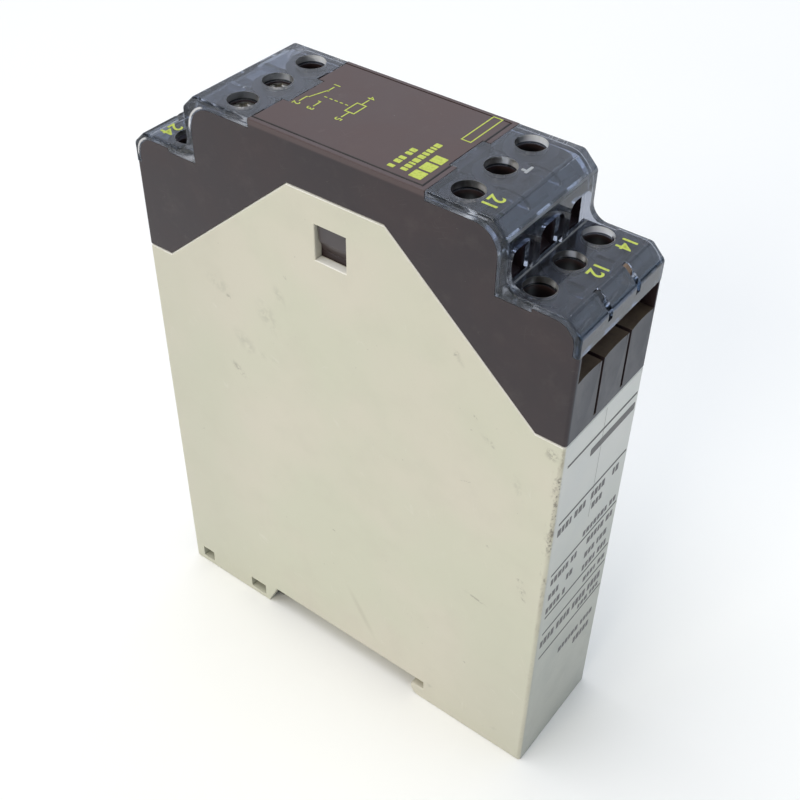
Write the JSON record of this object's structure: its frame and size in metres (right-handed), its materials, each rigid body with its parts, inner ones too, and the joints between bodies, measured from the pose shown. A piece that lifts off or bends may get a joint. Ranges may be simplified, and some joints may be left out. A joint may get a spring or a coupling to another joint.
{
  "type": "pulse relay",
  "caption": "Slim rail-mounted pulse relay: pale case, dark terminal housing with stepped ends, clear clip-on terminal covers, screw clamps and a sprung rail latch.",
  "frame": {"origin": "centre of the footprint on the rail side, at the level of the feet", "axes": "+X along the length towards the end with the fixed rail hook, +Y across the width, +Z from the rail side to the front plate"},
  "size_m": [0.08, 0.0226, 0.109],
  "materials": {
    "pale_case": "fine satin moulding",
    "dark_case": "fine satin moulding, dark brown",
    "smoked_clear": "smoked clear, polished",
    "latch_plastic": "satin moulding",
    "spring_steel": "bright spring wire",
    "plated_steel": "bright zinc or nickel plate",
    "tinned_brass": "tinned strip",
    "board_laminate": "green laminate",
    "bobbin_plastic": "natural plastic",
    "copper_wire": "enamelled copper winding",
    "soft_iron": "plated iron",
    "contact_metal": "spring bronze with silver rivets",
    "relay_clear": "clear dust cover",
    "film_yellow": "moulded box",
    "can_sleeve": "shrink sleeve over a can",
    "cement_white": "cement body",
    "surge_blue": "dipped coating",
    "chip_black": "moulded body",
    "resistor_tan": "lacquered body"
  },
  "bodies": {
    "base": {"base_housing": "pale_case", "terminal_housing": "dark_case", "front_plate": "dark_case", "latch_spring": "spring_steel", "terminal_board": "board_laminate", "main_board": "board_laminate", "board_link_pins": "tinned_brass", "relay_base": "chip_black", "relay_bobbin": "bobbin_plastic", "relay_winding": "copper_wire", "relay_core": "soft_iron", "relay_yoke": "soft_iron", "relay_contact_break": "contact_metal", "relay_contact_make": "contact_metal", "relay_return_spring": "spring_steel", "relay_cover": "relay_clear", "film_capacitor": "film_yellow", "smoothing_capacitor": "can_sleeve", "timing_capacitor": "can_sleeve", "dropper_resistor": "cement_white", "surge_absorber": "surge_blue", "timer_chip": "chip_black", "rectifier_diodes": "chip_black", "resistors": "resistor_tan", "switching_transistor": "chip_black", "terminal_bar_1": "tinned_brass", "terminal_bar_2": "tinned_brass", "terminal_bar_3": "tinned_brass", "terminal_bar_4": "tinned_brass", "terminal_bar_5": "tinned_brass", "terminal_bar_6": "tinned_brass"},
    "latch": {"rail_latch": "latch_plastic"},
    "armature": {"relay_armature": "soft_iron", "relay_moving_contact": "contact_metal"},
    "cover_right": {"terminal_cover_right": "smoked_clear"},
    "cover_left": {"terminal_cover_left": "smoked_clear"},
    "clamp_1": {"clamp_plate_1": "plated_steel"},
    "screw_1": {"clamp_screw_1": "plated_steel"},
    "clamp_2": {"clamp_plate_2": "plated_steel"},
    "screw_2": {"clamp_screw_2": "plated_steel"},
    "clamp_3": {"clamp_plate_3": "plated_steel"},
    "screw_3": {"clamp_screw_3": "plated_steel"},
    "clamp_4": {"clamp_plate_4": "plated_steel"},
    "screw_4": {"clamp_screw_4": "plated_steel"},
    "clamp_5": {"clamp_plate_5": "plated_steel"},
    "screw_5": {"clamp_screw_5": "plated_steel"},
    "clamp_6": {"clamp_plate_6": "plated_steel"},
    "screw_6": {"clamp_screw_6": "plated_steel"}
  },
  "joints": [
    {"name": "latch_slide", "type": "slide", "parent": "base", "child": "latch", "axis": [-1, 0, 0], "range_m": [0, 0.003], "stiffness_N_per_m": 300, "springref_m": -0.003, "deforming": ["latch_spring"]},
    {"name": "armature_pull", "type": "hinge", "parent": "base", "child": "armature", "pos_m": [-0.0026, 0, 0.0285], "axis": [0, 1, 0], "range_deg": [0, 6], "stiffness_Nm_per_rad": 0.004, "springref_deg": -11.46, "deforming": ["relay_return_spring"]},
    {"name": "cover_right_lift", "type": "slide", "parent": "base", "child": "cover_right", "axis": [0, 0, 1], "range_m": [0, 0.02]},
    {"name": "cover_left_lift", "type": "slide", "parent": "base", "child": "cover_left", "axis": [0, 0, 1], "range_m": [0, 0.02]},
    {"name": "clamp_1_travel", "type": "slide", "parent": "base", "child": "clamp_1", "axis": [0, 0, -1], "range_m": [-0.0022, 0.0025]},
    {"name": "screw_1_turn", "type": "hinge", "parent": "clamp_1", "child": "screw_1", "pos_m": [0.0195, -0.0075, 0.1029], "axis": [0, 0, -1], "range_deg": [-1584, 1800]},
    {"name": "clamp_2_travel", "type": "slide", "parent": "base", "child": "clamp_2", "axis": [0, 0, -1], "range_m": [-0.0022, 0.0025]},
    {"name": "screw_2_turn", "type": "hinge", "parent": "clamp_2", "child": "screw_2", "pos_m": [0.0313, 0, 0.0929], "axis": [0, 0, -1], "range_deg": [-1584, 1800]},
    {"name": "clamp_3_travel", "type": "slide", "parent": "base", "child": "clamp_3", "axis": [0, 0, -1], "range_m": [-0.0022, 0.0025]},
    {"name": "screw_3_turn", "type": "hinge", "parent": "clamp_3", "child": "screw_3", "pos_m": [0.0313, 0.0075, 0.0929], "axis": [0, 0, -1], "range_deg": [-1584, 1800]},
    {"name": "clamp_4_travel", "type": "slide", "parent": "base", "child": "clamp_4", "axis": [0, 0, -1], "range_m": [0, 0.0047]},
    {"name": "screw_4_turn", "type": "hinge", "parent": "clamp_4", "child": "screw_4", "pos_m": [-0.0195, -0.0075, 0.1051], "axis": [0, 0, -1], "range_deg": [0, 3384]},
    {"name": "clamp_5_travel", "type": "slide", "parent": "base", "child": "clamp_5", "axis": [0, 0, -1], "range_m": [0, 0.0047]},
    {"name": "screw_5_turn", "type": "hinge", "parent": "clamp_5", "child": "screw_5", "pos_m": [-0.0195, 0, 0.1051], "axis": [0, 0, -1], "range_deg": [0, 3384]},
    {"name": "clamp_6_travel", "type": "slide", "parent": "base", "child": "clamp_6", "axis": [0, 0, -1], "range_m": [-0.0022, 0.0025]},
    {"name": "screw_6_turn", "type": "hinge", "parent": "clamp_6", "child": "screw_6", "pos_m": [-0.0313, -0.0075, 0.0929], "axis": [0, 0, -1], "range_deg": [-1584, 1800]}
  ],
  "couplings": [
    {"joint": "screw_1_turn", "follows": "clamp_1_travel", "rad_per_m": 12566},
    {"joint": "screw_2_turn", "follows": "clamp_2_travel", "rad_per_m": 12566},
    {"joint": "screw_3_turn", "follows": "clamp_3_travel", "rad_per_m": 12566},
    {"joint": "screw_4_turn", "follows": "clamp_4_travel", "rad_per_m": 12566},
    {"joint": "screw_5_turn", "follows": "clamp_5_travel", "rad_per_m": 12566},
    {"joint": "screw_6_turn", "follows": "clamp_6_travel", "rad_per_m": 12566}
  ]
}
